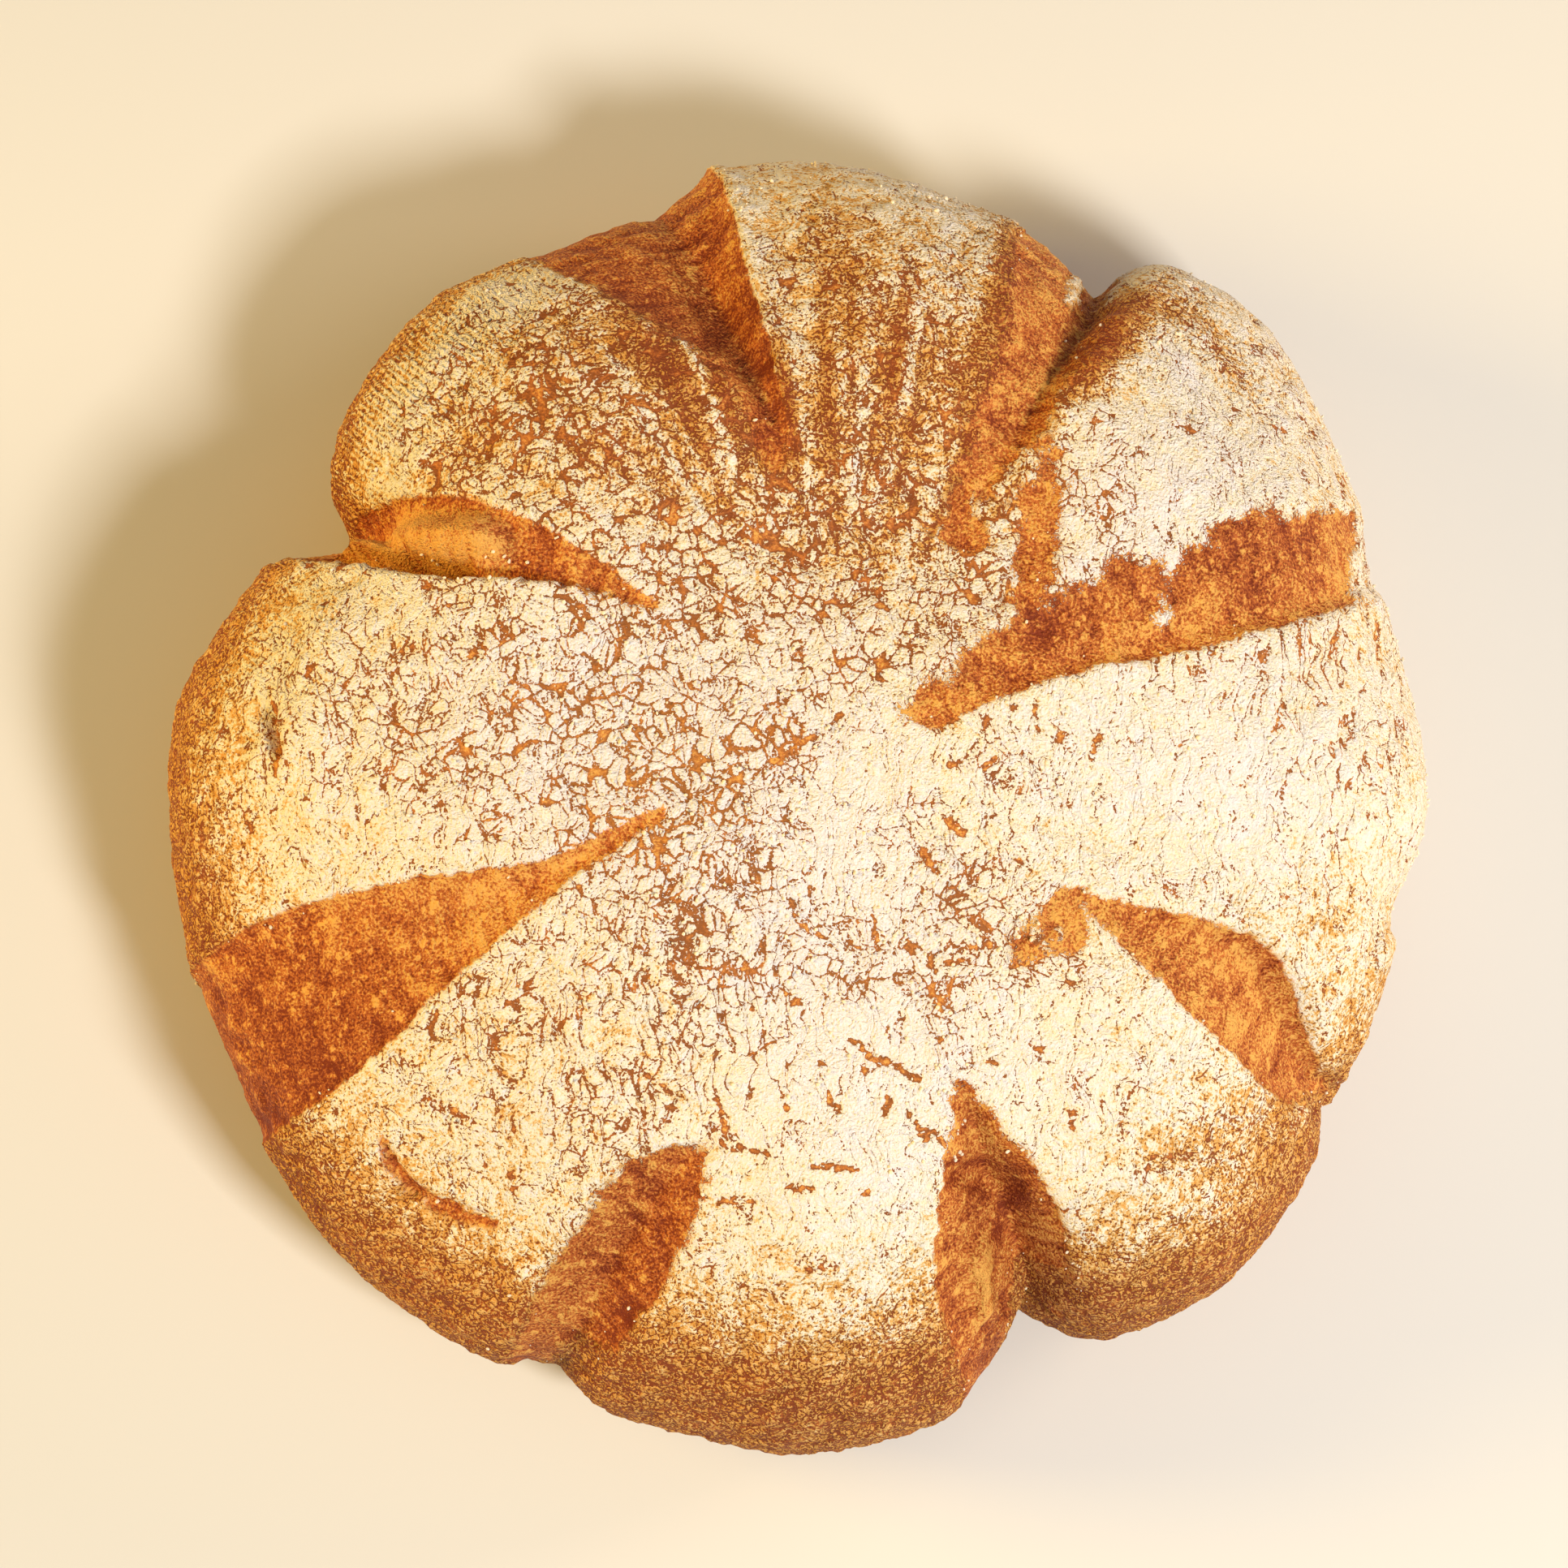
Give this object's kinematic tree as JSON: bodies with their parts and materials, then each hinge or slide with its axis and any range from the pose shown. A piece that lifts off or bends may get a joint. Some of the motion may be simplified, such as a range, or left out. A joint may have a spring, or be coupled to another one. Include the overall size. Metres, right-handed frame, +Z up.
{
  "type": "round country loaf",
  "caption": "Round rustic wheat loaf with a flour-dusted, crackled crust and a rim burst into puffed lobes along radial splits; it rests on its flat base.",
  "frame": {"origin": "on the table, under the middle of the loaf's box", "axes": "+Z up out of the crown; +X and +Y lie in the flat base"},
  "size_m": [0.2578, 0.2668, 0.0892],
  "materials": {
    "crust": "matt baked crust dusted with wheat flour, bare and orange-brown in the splits"
  },
  "bodies": {
    "root": {"loaf": "crust"}
  },
  "joints": []
}
